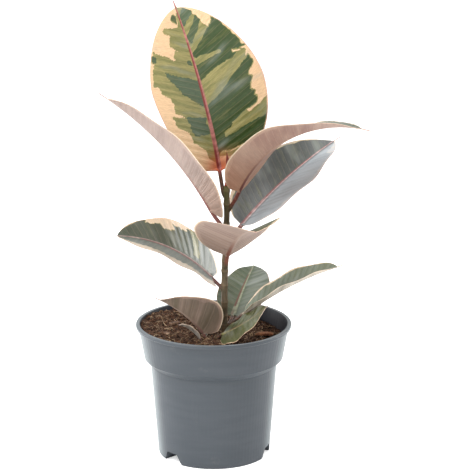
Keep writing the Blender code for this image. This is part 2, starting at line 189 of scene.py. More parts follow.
TOP_PATCHES = (
    Patch(1, 0.00, 0.62, (0.06, 0.12), (0.94, 0.93), SAGE),
    Patch(1, 0.50, 0.88, (0.40, 0.43), (0.52, 0.50), SAGE),
    Patch(1, 0.03, 0.75, (0.822, 0.860), (0.885, 0.925), GREEN, 0.15),
    Patch(1, 0.05, 0.63, (0.715, 0.785), (0.768, 0.835), GREEN, 0.45),
    Patch(1, 0.05, 0.97, (0.650, 0.495), (0.675, 0.755), GREEN, 0.85),
    Patch(1, 0.03, 0.74, (0.515, 0.495), (0.605, 0.570), GREEN, 0.9),
    Patch(1, 0.06, 0.55, (0.602, 0.556), (0.632, 0.580), SAGE),
    Patch(1, 0.02, 0.93, (0.310, 0.390), (0.360, 0.452), GREEN, 0.95),
    Patch(1, 0.00, 0.79, (0.200, 0.205), (0.360, 0.420), GREEN, 0.85),
    Patch(1, 0.00, 0.34, (0.050, 0.150), (0.260, 0.260), GREEN, 1.0),
    Patch(1, 0.12, 0.99, (0.095, 0.020), (0.158, 0.120), GREEN, 0.85),
    Patch(1, 0.22, 0.97, (0.150, 0.118), (0.176, 0.192), SAGE),
    Patch(1, 0.10, 0.95, (0.070, -0.010), (0.090, 0.015), SAGE),
    Patch(-1, 0.00, 0.16, (0.80, 0.80), (0.91, 0.91), SAGE),
    Patch(-1, 0.00, 0.74, (0.74, 0.765), (0.82, 0.795), SAGE),
    Patch(-1, 0.00, 0.52, (0.66, 0.69), (0.76, 0.77), SAGE),
    Patch(-1, 0.00, 0.40, (0.57, 0.60), (0.68, 0.67), SAGE),
    Patch(-1, 0.00, 0.94, (0.40, 0.43), (0.58, 0.645), SAGE),
    Patch(-1, 0.00, 0.82, (0.34, 0.385), (0.46, 0.46), SAGE),
    Patch(-1, 0.00, 0.66, (0.25, 0.29), (0.42, 0.38), SAGE),
    Patch(-1, 0.00, 0.75, (0.16, 0.195), (0.29, 0.262), SAGE),
    Patch(-1, 0.00, 0.56, (0.10, 0.130), (0.22, 0.21), SAGE),
    Patch(-1, 0.00, 0.32, (0.035, 0.060), (0.13, 0.13), SAGE),
    # The left half's green patches take the paler green: painted sheen, for the light this half catches as it
    # faces up.
    Patch(-1, 0.20, 0.50, (0.835, 0.857), (0.885, 0.890), GREEN, 0.5),
    Patch(-1, 0.86, 0.99, (0.570, 0.565), (0.610, 0.610), GREEN, 0.4),
    Patch(-1, 0.04, 0.15, (0.600, 0.605), (0.635, 0.630), GREEN, 0.3),
    Patch(-1, 0.00, 0.42, (0.360, 0.415), (0.520, 0.515), GREEN, 0.05),
    Patch(-1, 0.34, 0.67, (0.410, 0.500), (0.515, 0.522), GREEN, 0.1),
    Patch(-1, 0.03, 0.46, (0.208, 0.172), (0.305, 0.278), GREEN, 0.1),
)

MID_LEFT_PATCHES = (
    Patch(1, 0.62, 1.10, (0.33, 0.36), (0.46, 0.47), CREAM),
    Patch(1, 0.80, 1.10, (0.20, 0.20), (0.60, 0.56), CREAM),
    Patch(1, 0.25, 1.10, (0.13, 0.12), (0.19, 0.17), SAGE),
    Patch(-1, 0.65, 1.10, (-0.1, -0.2), (1.0, 1.0), CREAM),
)

LEAVES = (
    Leaf("top_leaf", 0.136, 0.090, 0.014, 0.0015, out=135, petiole_rise=78, heading=158, turn=-17,
         rise=(80, 64), roll=(41, 41), fold=18, cup=-5, node=0.97, widest=0.45, point=1.6,
         right=1.08, left=0.94, skew=0.06, wave=0.0004,
         look=Look(margin=2.0, body=CREAM, spread=0.10, patches=TOP_PATCHES, base_flush=1.0,
                   cream=(0.78, 0.52, 0.30), sage=(0.21, 0.20, 0.065), pale=(0.08, 0.115, 0.06),
                   deep=(0.030, 0.058, 0.008), rib=(0.42, 0.15, 0.13), petiole=(0.09, 0.045, 0.03))),
    Leaf("upper_right_leaf", 0.129, 0.080, 0.0115, 0.0015, out=-20, petiole_rise=58, heading=-25,
         rise=(66, -10), roll=(12, 6), fold=13, node=0.88, widest=0.50, point=1.25, right=0.95, left=0.82,
         look=Look(under=(0.30, 0.155, 0.115), under_pale=(0.46, 0.29, 0.21), base_flush=0.8,
                   petiole=(0.16, 0.04, 0.03))),
    Leaf("upper_left_leaf", 0.126, 0.070, 0.0131, 0.0015, out=190, petiole_rise=50, heading=187,
         rise=(62, 34), roll=(-8, -8), fold=18, node=0.745, widest=0.38, lobe=0.08,
         look=Look(under=(0.28, 0.185, 0.150), under_pale=(0.40, 0.285, 0.235), base_flush=0.25,
                   petiole=(0.28, 0.10, 0.09))),
    Leaf("back_right_leaf", 0.108, 0.074, 0.0125, 0.0017, out=30, petiole_rise=40, heading=30,
         rise=(43, 24), roll=(-5, -5), fold=18, node=0.65, point=1.4, right=1.22,
         look=Look(margin=0.91, depth=0.6, spread=0.12, painted_reflection=(1, 0.8), painted_reflection_colour=(0.42, 0.46, 0.50),
                   pale=(0.15, 0.16, 0.16), deep=(0.060, 0.066, 0.058), rib=(0.45, 0.30, 0.29),
                   patches=(Patch(1, 0.55, 1.10, (0.72, 0.70), (1.0, 1.0), CREAM),))),
    Leaf("mid_front_leaf", 0.100, 0.070, 0.008, 0.0016, out=-78, petiole_rise=70, heading=-77,
         rise=(41, 8), roll=(0, 0), fold=20, node=0.50, point=2.0, right=0.98, left=0.90,
         wave=0.0004,
         look=Look(under=(0.31, 0.205, 0.165), under_pale=(0.43, 0.31, 0.25), under_band=0.6,
                   petiole=(0.22, 0.07, 0.045))),
    Leaf("mid_left_leaf", 0.089, 0.060, 0.009, 0.0014, out=190, petiole_rise=45, heading=194,
         rise=(49, 3), roll=(23, 20), fold=17, node=0.335, widest=0.39, point=1.5, lobe=0.08, left=1.18,
         look=Look(margin=0.90, spread=0.10, depth=0.4, painted_reflection=(-1, 0.35), pale=(0.085, 0.10, 0.075),
                   deep=(0.042, 0.058, 0.038), rib=(0.30, 0.22, 0.19), petiole=(0.12, 0.04, 0.04),
                   patches=MID_LEFT_PATCHES)),
    Leaf("low_right_leaf", 0.087, 0.045, 0.014, 0.0014, out=-10, petiole_rise=40, heading=-5,
         rise=(38, 18), roll=(0, 0), fold=22, node=0.066, left=0.88, right=0.9,
         look=Look(margin=0.88, spread=0.2, painted_reflection=(1, 0.6), pale=(0.15, 0.18, 0.125),
                   deep=(0.10, 0.125, 0.075), under=(0.30, 0.25, 0.17), under_pale=(0.66, 0.58, 0.46),
                   rib=(0.36, 0.32, 0.22), petiole=(0.07, 0.045, 0.03))),
    Leaf("low_back_leaf", 0.062, 0.042, 0.010, 0.0012, out=48, petiole_rise=40, heading=71,
         rise=(34, 18), roll=(0, 0), fold=12, node=0.045, widest=0.38, point=1.7, lobe=0.05,
         right=1.12, left=0.88,
         look=Look(margin=1.5, spread=0.10, depth=0.35, painted_reflection=(1, 0.2), pale=(0.085, 0.11, 0.065),
                   deep=(0.042, 0.062, 0.028), rib=(0.24, 0.26, 0.17), petiole=(0.07, 0.045, 0.03))),
    Leaf("low_front_right_leaf", 0.047, 0.040, 0.005, 0.0011, out=-26, petiole_rise=45, heading=-26,
         rise=(28, 44), roll=(-20, -20), fold=3, foot=(0.0032, -0.0125), widest=0.52, right=1.3, left=0.72,
         look=Look(margin=0.97, spread=0.16, depth=0.4, pale=(0.075, 0.085, 0.025),
                   deep=(0.032, 0.042, 0.009), rib=(0.20, 0.19, 0.08), cream=(0.42, 0.36, 0.20),
                   petiole=(0.07, 0.045, 0.03))),
    # This low leaf's dark underside colour is partly painted shade, for the shadow of the pot and soil that
    # it lies in; the rest is its own darker tone.
    Leaf("low_front_left_leaf", 0.0475, 0.040, 0.003, 0.0012, out=185, petiole_rise=75, heading=185,
         rise=(54, 23), roll=(-40, -28), fold=63, foot=(-0.0068, -0.0115), widest=0.22, point=1.1,
         lobe=0.18, right=0.7, left=1.28,
         look=Look(under=(0.11, 0.085, 0.05), under_pale=(0.30, 0.21, 0.165), under_band=0.45,
                   petiole=(0.16, 0.075, 0.06))),
    Leaf("low_left_small_leaf", 0.020, 0.016, 0.002, 0.0008, out=172, petiole_rise=60, heading=172,
         rise=(58, 8), roll=(-20, -30), fold=15, foot=(-0.0095, -0.0225), widest=0.40,
         wave=0.0002,
         look=Look(under=(0.30, 0.26, 0.21), under_pale=(0.55, 0.50, 0.43), petiole=(0.10, 0.06, 0.04))),
)

# ---------------------------------------------------------------- shared tools


def mesh_object(name, points, faces, materials, slots=None):
    """A smooth mesh object. slots gives each face's material."""
    mesh = bpy.data.meshes.new(name)
    mesh.from_pydata(points, [], faces)
    for material in materials:
        mesh.materials.append(material)
    if slots is not None:
        mesh.polygons.foreach_set("material_index", np.asarray(slots, np.int32))
    mesh.validate()
    mesh.shade_smooth()
    obj = bpy.data.objects.new(name, mesh)
    bpy.context.scene.collection.objects.link(obj)
    return obj


def place(obj, slot, *nodes):
    """Puts a piece on the part's one body, and hides the CAD nodes that it stands for."""
    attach(obj, "root")
    if nodes:
        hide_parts(*nodes)


def add_attribute(obj, name, kind, values):
    attribute = obj.data.attributes.new(name, kind, "POINT")
    key = "vector" if kind == "FLOAT_VECTOR" else "value"
    attribute.data.foreach_set(key, np.asarray(values, np.float32).ravel())


def ring_faces(rows, sides):
    """Quads between rows rings of sides points each, and a face at each end."""
    faces = []
    for row in range(rows - 1):
        for side in range(sides):
            after = (side + 1) % sides
            low, high = row * sides, (row + 1) * sides
            faces.append((low + side, low + after, high + after, high + side))
    faces.append(tuple(range(sides - 1, -1, -1)))
    faces.append(tuple(range((rows - 1) * sides, rows * sides)))
    return faces


def ring_angles(sides):
    """Angles of the points of a ring, evenly spaced."""
    return [2.0 * math.pi * side / sides for side in range(sides)]


def smoothstep(value):
    value = np.clip(value, 0.0, 1.0)
    return value * value * (3.0 - 2.0 * value)


# ---------------------------------------------------------------- material tools


class Nodes:
    """A short way to write a material's node tree."""

    def __init__(self, name):
        self.material = bpy.data.materials.new(name)
        self.material.use_nodes = True
        self.tree = self.material.node_tree
        self.shader = self.tree.nodes["Principled BSDF"]

    def put(self, socket, value):
        if isinstance(value, bpy.types.NodeSocket):
            self.tree.links.new(value, socket)
        elif isinstance(value, tuple) and len(value) == 3 and socket.type == "RGBA":
            socket.default_value = (*value, 1.0)
        else:
            socket.default_value = value

    def node(self, kind, **inputs):
        made = self.tree.nodes.new(kind)
        for key, value in inputs.items():
            self.put(made.inputs[key.replace("_", " ")], value)
        return made

    def attribute(self, name):
        made = self.tree.nodes.new("ShaderNodeAttribute")
        made.attribute_name = name
        return made

    def math(self, operation, first, second=0.0, third=0.0):
        made = self.tree.nodes.new("ShaderNodeMath")
        made.operation = operation
        for socket, value in zip(made.inputs, (first, second, third)):
            self.put(socket, value)
        return made.outputs[0]

    def remap(self, value, low, high, new_low=0.0, new_high=1.0, smooth=True):
        made = self.tree.nodes.new("ShaderNodeMapRange")
        made.interpolation_type = "SMOOTHSTEP" if smooth else "LINEAR"
        for socket, number in zip(made.inputs, (value, low, high, new_low, new_high)):
            self.put(socket, number)
        return made.outputs[0]

    def mix(self, factor, first, second, blend="MIX"):
        made = self.tree.nodes.new("ShaderNodeMix")
        made.data_type = "RGBA"
        made.blend_type = blend
        self.put(made.inputs[0], factor)
        self.put(made.inputs[6], first)
        self.put(made.inputs[7], second)
        return made.outputs[2]

    def noise(self, vector, scale, detail=3.0, roughness=0.5):
        made = self.node("ShaderNodeTexNoise", Scale=scale, Detail=detail, Roughness=roughness)
        self.tree.links.new(vector, made.inputs["Vector"])
        return made.outputs["Fac"]

    def combine(self, x, y, z):
        made = self.tree.nodes.new("ShaderNodeCombineXYZ")
        for socket, value in zip(made.inputs, (x, y, z)):
            self.put(socket, value)
        return made.outputs[0]

    def position(self):
        return self.tree.nodes.new("ShaderNodeTexCoord").outputs["Object"]

    def bump(self, height, strength, distance):
        made = self.node("ShaderNodeBump", Strength=strength, Distance=distance, Height=height)
        self.tree.links.new(made.outputs[0], self.shader.inputs["Normal"])

    def finish(self, colour, roughness, **constants):
        self.put(self.shader.inputs["Base Color"], colour)
        self.put(self.shader.inputs["Roughness"], roughness)
        for key, value in constants.items():
            self.shader.inputs[key.replace("_", " ")].default_value = value
        return self.material


def leaf_coordinates(nodes, seed):
    """Sockets for a leaf's own coordinates: distance across the veins, reach from the midrib, share of
    the length, and a noise vector that is stretched along the veins."""
    split = nodes.tree.nodes.new("ShaderNodeSeparateXYZ")
    nodes.tree.links.new(nodes.attribute("leaf_map").outputs["Vector"], split.inputs[0])
    across, reach, share = split.outputs
    stretched = nodes.combine(across, nodes.math("MULTIPLY", reach, 0.16), seed)
    return across, reach, share, stretched


def rib_mask(nodes, reach, share, width):
    """1 on the midrib, which narrows to the tip."""
    half = nodes.remap(share, 0.0, 1.0, width, 0.22 * width, smooth=False)
    ratio = nodes.math("DIVIDE", nodes.math("ABSOLUTE", reach), half)
    return nodes.remap(ratio, 0.75, 1.25, 1.0, 0.0)


def vein_mask(nodes, across, reach, sharpness):
    """1 on the lateral veins, 0 between them."""
    phase = nodes.math("FRACT", nodes.math("DIVIDE", across, VEIN_SPACING))
    away = nodes.math("ABSOLUTE", nodes.math("SUBTRACT", phase, 0.5))
    line = nodes.remap(away, 0.5 - sharpness, 0.5)
    return nodes.math("MULTIPLY", line, nodes.remap(nodes.math("ABSOLUTE", reach), 0.0005, 0.004))


def rib_colour(nodes, leaf, reach, share, stretched):
    """The midrib's colour: a darker red strip along its left side beside a paler band, broken up along its
    length.
    """
    light = nodes.remap(nodes.noise(stretched, 300.0, 2.0), 0.35, 0.65, 0.75, 1.25)
    band = nodes.mix(1.0, leaf.look.rib, nodes.combine(light, light, light), "MULTIPLY")
    patchy = nodes.remap(nodes.noise(nodes.combine(share, 0.0, leaf.length), 5.0, 1.0), 0.40, 0.52)
    left = nodes.remap(reach, 0.0004, -0.0002)
    core = nodes.math("MULTIPLY", left, patchy)
    dark = nodes.mix(1.0, leaf.look.rib, (0.45, 0.10, 0.09), "MULTIPLY")
    return nodes.mix(nodes.math("MULTIPLY", core, 0.85), band, dark)


def upper_material(leaf, seed):
    """Waxy upper side: cream, sage and green with ragged edges that follow the veins, painted sheen streaks,
    and on some leaves a painted reflection over one half.
    """
    look = leaf.look
    nodes = Nodes(leaf.name + "_upper")
    across, reach, share, stretched = leaf_coordinates(nodes, seed)
    tone = nodes.attribute("tone").outputs["Fac"]
    depth = nodes.attribute("depth").outputs["Fac"]
    broad = nodes.math("SUBTRACT", nodes.noise(stretched, 130.0, 2.0), 0.5)
    ragged = nodes.math("SUBTRACT", nodes.noise(stretched, 560.0, 4.0, 0.65), 0.5)
    streaks = nodes.noise(stretched, 1700.0, 3.0, 0.6)
    mottle = nodes.noise(stretched, 260.0, 3.0, 0.6)
    level = nodes.math("ADD", tone, nodes.math("MULTIPLY", ragged, 0.36))
    level = nodes.math("ADD", level, nodes.math("MULTIPLY", broad, look.spread))
    olive = nodes.mix(nodes.remap(mottle, 0.42, 0.60, 0.0, 0.75), look.sage, (0.34, 0.29, 0.105))
    colour = nodes.mix(nodes.remap(level, 0.235, 0.265), look.cream, olive)
    depth = nodes.math("ADD", depth, nodes.math("MULTIPLY", broad, 0.9))
    green = nodes.mix(depth, look.pale, look.deep)
    bright = nodes.mix(0.5, green, look.sage)
    green = nodes.mix(nodes.remap(mottle, 0.50, 0.72, 0.0, 0.65), green, bright)
    colour = nodes.mix(nodes.remap(level, 0.52, 0.565), colour, green)
    light = nodes.remap(streaks, 0.3, 0.7, 0.80, 1.20, smooth=False)
    colour = nodes.mix(0.85, colour, nodes.combine(light, light, light), "MULTIPLY")
    # Painted sheen: soft pale grey streaks along the veins stand for light that the waxy surface reflects.
    painted_sheen = nodes.noise(nodes.combine(across, nodes.math("MULTIPLY", reach, 0.35), seed + 4.0), 75.0, 2.0)
    painted_sheen = nodes.remap(painted_sheen, 0.52, 0.74, 0.0, 0.40)
    colour = nodes.mix(painted_sheen, colour, (0.34, 0.37, 0.34))
    # Painted reflection: a pale tint over one half stands for the bright surroundings that this half mirrors.
    side, strength = look.painted_reflection
    if side:
        near = nodes.remap(nodes.math("MULTIPLY", reach, side), 0.0006, 0.006, 0.0, strength)
        near = nodes.math("MULTIPLY", near, nodes.remap(mottle, 0.30, 0.60, 0.65, 1.0))
        colour = nodes.mix(near, colour, look.painted_reflection_colour)
    veins = vein_mask(nodes, across, reach, 0.09)
    colour = nodes.mix(nodes.math("MULTIPLY", veins, 0.08), colour, look.cream)
    edge = nodes.attribute("edge").outputs["Fac"]
    colour = nodes.mix(nodes.remap(edge, 0.965, 0.995, 0.0, 0.7), colour, (0.74, 0.42, 0.32))
    flush = nodes.remap(share, 0.16, 0.0, 0.0, look.base_flush)
    near_rib = nodes.remap(nodes.math("ABSOLUTE", reach), 0.0, 0.018, 1.0, 0.25)
    colour = nodes.mix(nodes.math("MULTIPLY", flush, near_rib), colour, (0.60, 0.11, 0.04))
    rib = rib_mask(nodes, reach, share, 0.0021)
    colour = nodes.mix(rib, colour, rib_colour(nodes, leaf, reach, share, stretched))
    colour = nodes.mix(nodes.remap(share, 0.004, -0.02), colour, petiole_colour(nodes, look))
    fine = nodes.noise(nodes.position(), 2600.0, 2.0)
    height = nodes.math("MULTIPLY_ADD", veins, -0.6, nodes.math("MULTIPLY", fine, 0.25))
    nodes.bump(height, 0.35, 0.0003)
    roughness = nodes.remap(streaks, 0.3, 0.7, 0.27, 0.40, smooth=False)
    return nodes.finish(colour, roughness, Coat_Weight=0.45, Coat_Roughness=0.2, IOR=1.46)


def petiole_colour(nodes, look):
    """The petiole's own colour, browner where it leaves the stem."""
    joint = nodes.attribute("joint").outputs["Fac"]
    grain = nodes.noise(nodes.position(), 700.0, 3.0)
    skin = nodes.mix(nodes.remap(grain, 0.4, 0.65, 0.0, 0.45), look.petiole, (0.30, 0.13, 0.08))
    return nodes.mix(joint, skin, (0.085, 0.062, 0.030))


def under_material(leaf, seed):
    """Matt underside: dusty pink, with fine pale lateral veins and a cream line at the margin."""
    look = leaf.look
    nodes = Nodes(leaf.name + "_under")
    across, reach, share, stretched = leaf_coordinates(nodes, seed)
    tone = nodes.attribute("tone").outputs["Fac"]
    broad = nodes.noise(stretched, 110.0, 3.0)
    streaks = nodes.noise(stretched, 1100.0, 4.0, 0.65)
    centred = nodes.math("MULTIPLY", nodes.math("SUBTRACT", broad, 0.5), look.under_band)
    pale = nodes.math("MULTIPLY_ADD", nodes.math("SUBTRACT", GREEN, tone), 0.5, centred)
    colour = nodes.mix(nodes.remap(pale, -0.20, 0.25), look.under, look.under_pale)
    light = nodes.remap(streaks, 0.3, 0.7, 0.86, 1.14, smooth=False)
    colour = nodes.mix(0.9, colour, nodes.combine(light, light, light), "MULTIPLY")
    veins = vein_mask(nodes, across, reach, 0.13)
    colour = nodes.mix(nodes.math("MULTIPLY", veins, 0.30), colour, look.under_pale)
    edge = nodes.attribute("edge").outputs["Fac"]
    colour = nodes.mix(nodes.remap(edge, 0.90, 0.975, 0.0, 0.35), colour, (0.72, 0.42, 0.28))
    colour = nodes.mix(nodes.remap(edge, 0.955, 0.975), colour, (0.86, 0.70, 0.52))
    flush = nodes.remap(share, 0.30, 0.0, 0.0, look.base_flush)
    colour = nodes.mix(nodes.math("MULTIPLY", flush, 0.6), colour, (0.66, 0.30, 0.16))
    rib = rib_mask(nodes, reach, share, 0.0019)
    fading = nodes.mix(nodes.remap(share, 0.0, 0.45), look.petiole, look.under_pale)
    colour = nodes.mix(rib, colour, fading)
    colour = nodes.mix(nodes.remap(share, 0.004, -0.02), colour, petiole_colour(nodes, look))
    height = nodes.math("MULTIPLY_ADD", veins, 0.7, nodes.math("MULTIPLY", streaks, 0.2))
    nodes.bump(height, 0.45, 0.0004)
    roughness = nodes.remap(streaks, 0.3, 0.7, 0.42, 0.56, smooth=False)
    return nodes.finish(colour, roughness, Sheen_Weight=0.12, Sheen_Roughness=0.5)


# A cone inside the pot's wall, which parts its inner side from its outer side, and the height where painted
# shade on the inner side starts.
SKIN_FOOT = 0.0430
SKIN_TOP = 0.0572
SHADED_FROM = 0.080


def pot_material():
    """Moulded blue-grey plastic: faint flow marks round it, fine grain, dust and scuffs, a painted sheen at
    its sides and painted shade on its upper inner wall.
    """
    nodes = Nodes("pot_moulded_plastic")
    place_in = nodes.position()
    split = nodes.tree.nodes.new("ShaderNodeSeparateXYZ")
    nodes.tree.links.new(place_in, split.inputs[0])
    squeezed = nodes.math("MULTIPLY", split.outputs[2], 7.0)
    squashed = nodes.combine(split.outputs[0], split.outputs[1], squeezed)
    flow = nodes.noise(squashed, 22.0, 3.0)
    grain = nodes.noise(place_in, 2300.0, 2.0)
    dust = nodes.noise(place_in, 75.0, 5.0, 0.7)
    scratches = nodes.noise(nodes.combine(split.outputs[0], split.outputs[1],
                                          nodes.math("MULTIPLY", split.outputs[2], 0.12)), 900.0, 3.0, 0.7)
    colour = nodes.mix(nodes.remap(flow, 0.35, 0.65), (0.055, 0.066, 0.078), (0.062, 0.073, 0.086))
    colour = nodes.mix(nodes.remap(dust, 0.60, 0.82, 0.0, 0.30), colour, (0.17, 0.165, 0.155))
    # Painted sheen: the body and collar turn pale blue-grey where they face away from view, standing for the
    # reflections at their sides.
    grazing = nodes.tree.nodes.new("ShaderNodeLayerWeight").outputs["Facing"]
    below = nodes.remap(split.outputs[2], BODY_HEIGHT - 0.0008, BODY_HEIGHT, 1.0, 0.12)
    above = nodes.remap(split.outputs[2], COLLAR_FOOT - 0.0004, COLLAR_FOOT)
    wall = nodes.math("MAXIMUM", below, above)
    edge = nodes.math("MULTIPLY", wall, nodes.remap(grazing, 0.50, 0.98, 0.0, 0.75))
    colour = nodes.mix(edge, colour, (0.36, 0.41, 0.42))
    # Painted shade: the inner side of the wall above SHADED_FROM is darkened almost to black, for the shade
    # inside the pot.
    distance = nodes.tree.nodes.new("ShaderNodeVectorMath")
    distance.operation = "LENGTH"
    nodes.tree.links.new(nodes.combine(split.outputs[0], split.outputs[1], 0.0), distance.inputs[0])
    skin = nodes.remap(split.outputs[2], 0.0, POT_HEIGHT, SKIN_FOOT, SKIN_TOP, smooth=False)
    inside = nodes.remap(nodes.math("SUBTRACT", skin, distance.outputs["Value"]), 0.0, 0.0004)
    upper = nodes.remap(split.outputs[2], SHADED_FROM, SHADED_FROM + 0.002)
    colour = nodes.mix(nodes.math("MULTIPLY", inside, upper), colour, (0.010, 0.012, 0.020))
    roughness = nodes.remap(dust, 0.3, 0.8, 0.36, 0.52, smooth=False)
    roughness = nodes.math("ADD", roughness, nodes.remap(scratches, 0.60, 0.75, 0.0, 0.08))
    height = nodes.math("MULTIPLY_ADD", flow, 0.8, nodes.math("MULTIPLY", grain, 0.18))
    nodes.bump(height, 0.12, 0.0004)
    return nodes.finish(colour, roughness, IOR=1.5)


def soil_material(name, dark, light, scale):
    """Moist compost: dark reddish brown with paler grains."""
    nodes = Nodes(name)
    place_in = nodes.position()
    coarse = nodes.noise(place_in, scale, 5.0, 0.7)
    fine = nodes.noise(place_in, scale * 6.0, 4.0, 0.7)
    colour = nodes.mix(nodes.remap(coarse, 0.35, 0.65), dark, light)
    colour = nodes.mix(nodes.remap(fine, 0.62, 0.72, 0.0, 0.6), colour, (0.24, 0.13, 0.07))
    colour = nodes.mix(nodes.remap(fine, 0.40, 0.28, 0.0, 0.8), colour, (0.012, 0.008, 0.006))
    tint = nodes.attribute("tint").outputs["Fac"]
    light_by = nodes.remap(tint, 0.0, 1.0, 0.35, 1.9, smooth=False)
    colour = nodes.mix(1.0, colour, nodes.combine(light_by, light_by, light_by), "MULTIPLY")
    nodes.bump(nodes.math("ADD", coarse, fine), 0.9, 0.0009)
    return nodes.finish(colour, nodes.remap(coarse, 0.3, 0.7, 0.8, 1.0), Specular_IOR_Level=0.25)


def fibre_material():
    nodes = Nodes("soil_fibre")
    place_in = nodes.position()
    tint = nodes.attribute("tint").outputs["Fac"]
    colour = nodes.mix(tint, (0.10, 0.055, 0.03), (0.52, 0.36, 0.21))
    grain = nodes.noise(place_in, 1500.0, 3.0)
    colour = nodes.mix(nodes.remap(grain, 0.55, 0.7, 0.0, 0.5), colour, (0.05, 0.03, 0.02))
    nodes.bump(grain, 0.4, 0.0002)
    return nodes.finish(colour, nodes.remap(grain, 0.3, 0.7, 0.65, 0.85))


def bark_material(name, deep, bright):
    """Flaky bark with grain along it."""
    nodes = Nodes(name)
    place_in = nodes.position()
    grain = nodes.noise(place_in, 420.0, 6.0, 0.7)
    patches = nodes.noise(place_in, 150.0, 3.0)
    colour = nodes.mix(nodes.remap(grain, 0.35, 0.62), deep, bright)
    colour = nodes.mix(nodes.remap(patches, 0.55, 0.68, 0.0, 0.6), colour, (0.42, 0.27, 0.17))
    nodes.bump(grain, 0.8, 0.0006)
    return nodes.finish(colour, nodes.remap(grain, 0.3, 0.7, 0.75, 0.95))


def stem_material():
    """Young stem: olive brown, paler at the node rings, with fine streaks along it."""
    nodes = Nodes("stem_bark")
    place_in = nodes.position()
    split = nodes.tree.nodes.new("ShaderNodeSeparateXYZ")
    nodes.tree.links.new(place_in, split.inputs[0])
    drawn = nodes.combine(split.outputs[0], split.outputs[1], nodes.math("MULTIPLY", split.outputs[2], 0.10))
    streaks = nodes.noise(drawn, 900.0, 4.0, 0.6)
    blotches = nodes.noise(place_in, 130.0, 3.0)
    colour = nodes.mix(nodes.remap(blotches, 0.38, 0.62), (0.050, 0.042, 0.018), (0.115, 0.085, 0.045))
    colour = nodes.mix(nodes.remap(streaks, 0.45, 0.70, 0.0, 0.75), colour, (0.20, 0.12, 0.075))
    low = nodes.remap(split.outputs[2], SOIL_LEVEL + 0.09, STEM_TOP)
    colour = nodes.mix(nodes.math("MULTIPLY", low, 0.55), colour, (0.20, 0.19, 0.07))
    ring = nodes.attribute("ring").outputs["Fac"]
    colour = nodes.mix(nodes.math("MULTIPLY", ring, 0.35), colour, (0.26, 0.18, 0.10))
    fine = nodes.noise(place_in, 1700.0, 2.0)
    nodes.bump(nodes.math("ADD", streaks, nodes.math("MULTIPLY", fine, 0.4)), 0.5, 0.0005)
    return nodes.finish(colour, nodes.remap(streaks, 0.3, 0.7, 0.45, 0.62))


def bud_material():
    """The bud's sheath: dark glossy red, browner to its point, with lines along it."""
    nodes = Nodes("bud_sheath")
    place_in = nodes.position()
    split = nodes.tree.nodes.new("ShaderNodeSeparateXYZ")
    nodes.tree.links.new(place_in, split.inputs[0])
    drawn = nodes.combine(split.outputs[0], split.outputs[1], nodes.math("MULTIPLY", split.outputs[2], 0.08))
    lines = nodes.noise(drawn, 1400.0, 3.0)
    up = nodes.remap(split.outputs[2], STEM_TOP, STEM_TOP + 0.026)
    colour = nodes.mix(up, (0.36, 0.045, 0.022), (0.13, 0.018, 0.014))
    colour = nodes.mix(nodes.remap(lines, 0.4, 0.65, 0.0, 0.5), colour, (0.42, 0.10, 0.05))
    nodes.bump(lines, 0.3, 0.0003)
    return nodes.finish(colour, nodes.remap(lines, 0.3, 0.7, 0.26, 0.40), Coat_Weight=0.3)


# ---------------------------------------------------------------- pot and soil


def outer_radius(z):
    """Radius of the pot's outside below the lip."""
    heights = (0.0, BODY_HEIGHT, COLLAR_FOOT, POT_HEIGHT)
    radii = (FOOT_RADIUS, BODY_TOP_RADIUS, COLLAR_FOOT_RADIUS, LIP_RADIUS - LIP_BEAD)
    return float(np.interp(z, heights, radii))


def soil_height(x, y):
    """Mean height of the soil's surface, as in the CAD part."""
    away = math.hypot(x - STEM_LINE[1][1], y - STEM_LINE[1][2])
    mound = SOIL_MOUND * math.exp(-((away / SOIL_MOUND_RADIUS) ** 2))
    edge = SOIL_EDGE_RISE * (math.hypot(x, y) / LIP_RADIUS) ** 2
    return SOIL_LEVEL + SOIL_TILT_X * x + SOIL_TILT_Y * y + mound + edge


def soil_surface(x, y):
    """Height of the lumpy surface: coarse clods with finer crumbs on them."""
    clods = noise.fractal(Vector((x * 150.0, y * 150.0, 3.1)), 0.8, 2.1, 3)
    crumbs = noise.fractal(Vector((x * 620.0, y * 620.0, 7.7)), 0.9, 2.2, 2)
    return soil_height(x, y) + 0.0011 * clods + 0.00045 * crumbs - 0.0002


def make_soil():
    """The body of soil, closed, with a lumpy top."""
    sides, rings = 260, 84
    inset = POT_WALL + GAP
    points = []
    for ring in range(1, rings + 1):
        share = ring / rings
        for angle in ring_angles(sides):
            edge_height = soil_height(SOIL_RADIUS * math.cos(angle), SOIL_RADIUS * math.sin(angle))
            edge = outer_radius(edge_height) - inset
            x, y = edge * share * math.cos(angle), edge * share * math.sin(angle)
            points.append((x, y, min(soil_surface(x, y), POT_HEIGHT - 0.001)))
    heights = (COLLAR_FOOT + inset, BODY_HEIGHT, SOIL_FOOT)
    for z in heights:
        radius = outer_radius(z - inset) - inset
        points.extend((radius * math.cos(angle), radius * math.sin(angle), z) for angle in ring_angles(sides))
    rings += len(heights)
    centre = len(points)
    points.append((0.0, 0.0, soil_surface(0.0, 0.0)))
    points.append((0.0, 0.0, SOIL_FOOT))
    faces = []
    for side in range(sides):
        after = (side + 1) % sides
        faces.append((centre, side, after))
        for ring in range(rings - 1):
            low, high = ring * sides, (ring + 1) * sides
            faces.append((low + side, high + side, high + after, low + after))
        last = (rings - 1) * sides
        faces.append((centre + 1, last + after, last + side))
    material = soil_material("soil_body", (0.030, 0.015, 0.009), (0.110, 0.052, 0.028), 420.0)
    soil = mesh_object("soil_body", points, faces, [material])
    add_attribute(soil, "tint", "FLOAT", np.full(len(points), 0.42))
    place(soil, "soil", "soil")


